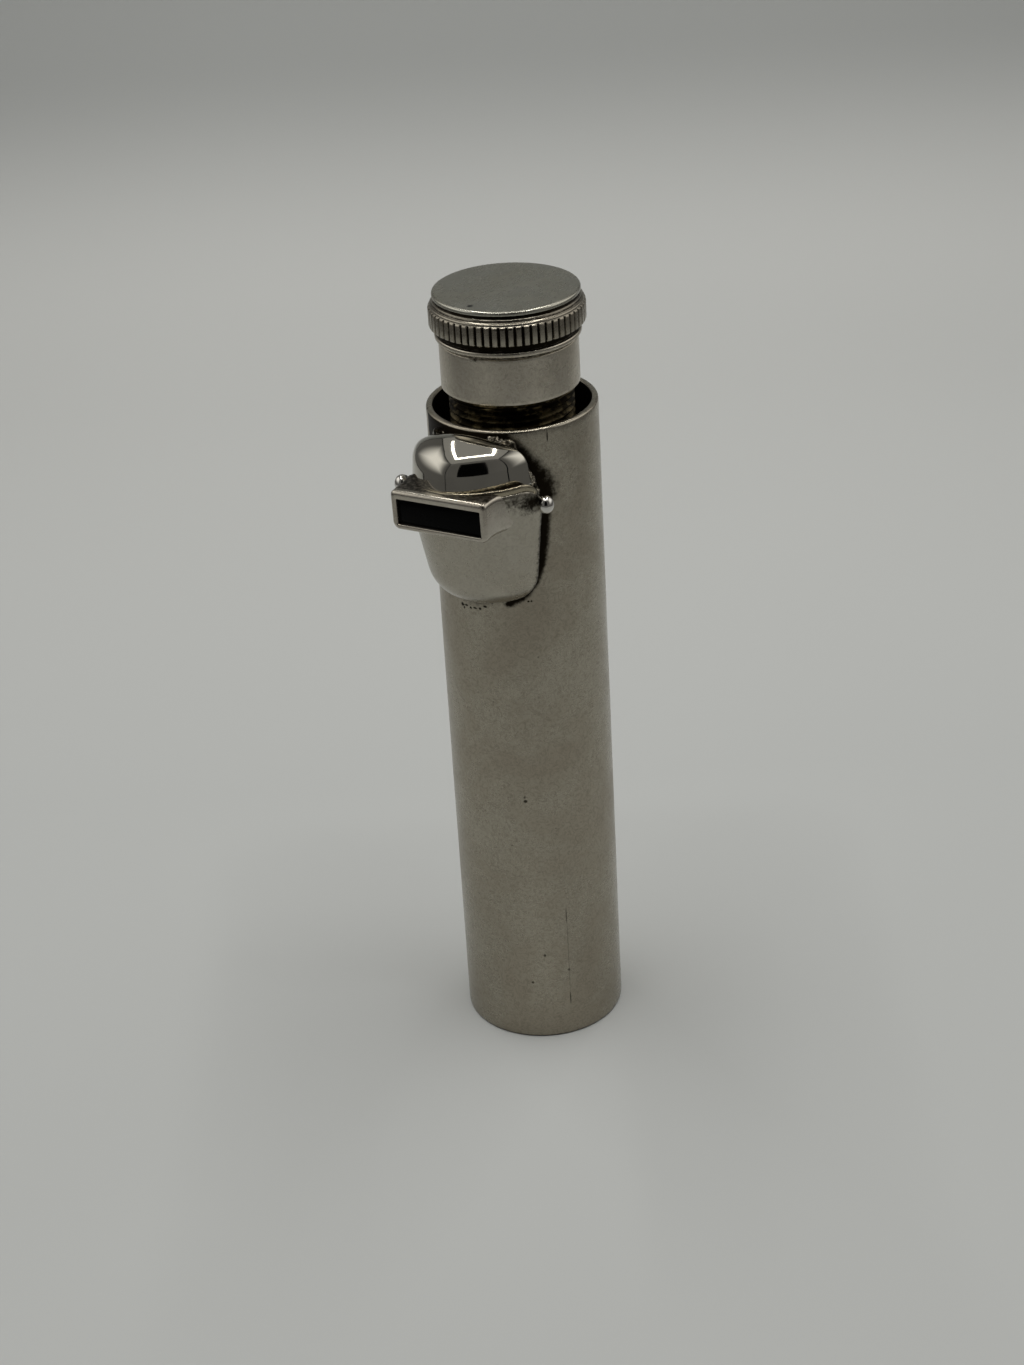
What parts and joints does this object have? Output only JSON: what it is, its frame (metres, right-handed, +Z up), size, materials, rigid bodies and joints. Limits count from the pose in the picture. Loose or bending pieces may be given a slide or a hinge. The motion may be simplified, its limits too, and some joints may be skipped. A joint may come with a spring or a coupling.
{
  "type": "screw-cap pocket tube",
  "caption": "Slim polished metal pocket tube with a knurled screw cap on a threaded neck, and a small welding-helmet ornament with a black window soldered on below the rim.",
  "frame": {"origin": "centre of the flat foot, on the tube's axis, at the surface that the tube stands on", "axes": "+Z up along the tube's axis towards the cap; -Y is the front, where the ornament is; +X to the right seen from the front"},
  "size_m": [0.0186, 0.0251, 0.0876],
  "materials": {
    "satin_nickel_silver": "satin, hand polished",
    "polished_nickel_silver": "polished, with fine handling scratches",
    "satin_silver": "satin, dark in the creases",
    "mirror_silver": "mirror",
    "black_glass": "black, opaque",
    "black_glass_backing": "dull",
    "dull_brass": "tarnished",
    "oxidised_solder": "rough, oxidised",
    "seal_rubber": "matte"
  },
  "bodies": {
    "tube": {"outer_tube": "satin_nickel_silver", "base_disc": "satin_nickel_silver", "inner_vial": "dull_brass", "shoulder_ring": "dull_brass", "lower_spacer_ring": "dull_brass", "threaded_neck": "dull_brass", "mask_face_shell": "satin_silver", "brow_band": "satin_silver", "mask_crown": "mirror_silver", "lens_frame": "satin_silver", "lens": "black_glass", "lens_backing_plate": "black_glass_backing", "left_pivot_stud": "mirror_silver", "right_pivot_stud": "mirror_silver", "solder_fillets": "oxidised_solder"},
    "liner": {"cap_seal": "seal_rubber"},
    "cap": {"cap_skirt": "polished_nickel_silver", "knurled_band": "polished_nickel_silver", "cap_top_disc": "polished_nickel_silver", "cap_thread_insert": "dull_brass"}
  },
  "joints": [
    {"name": "cap_rise", "type": "slide", "parent": "tube", "child": "liner", "axis": [0, 0, 1], "range_m": [0, 0.006]},
    {"name": "cap_turn", "type": "hinge", "parent": "liner", "child": "cap", "pos_m": [0, 0, 0], "axis": [0, 0, 1], "range_deg": [0, 2880]}
  ],
  "couplings": [
    {"joint": "cap_turn", "follows": "cap_rise", "rad_per_m": 8377.6}
  ]
}
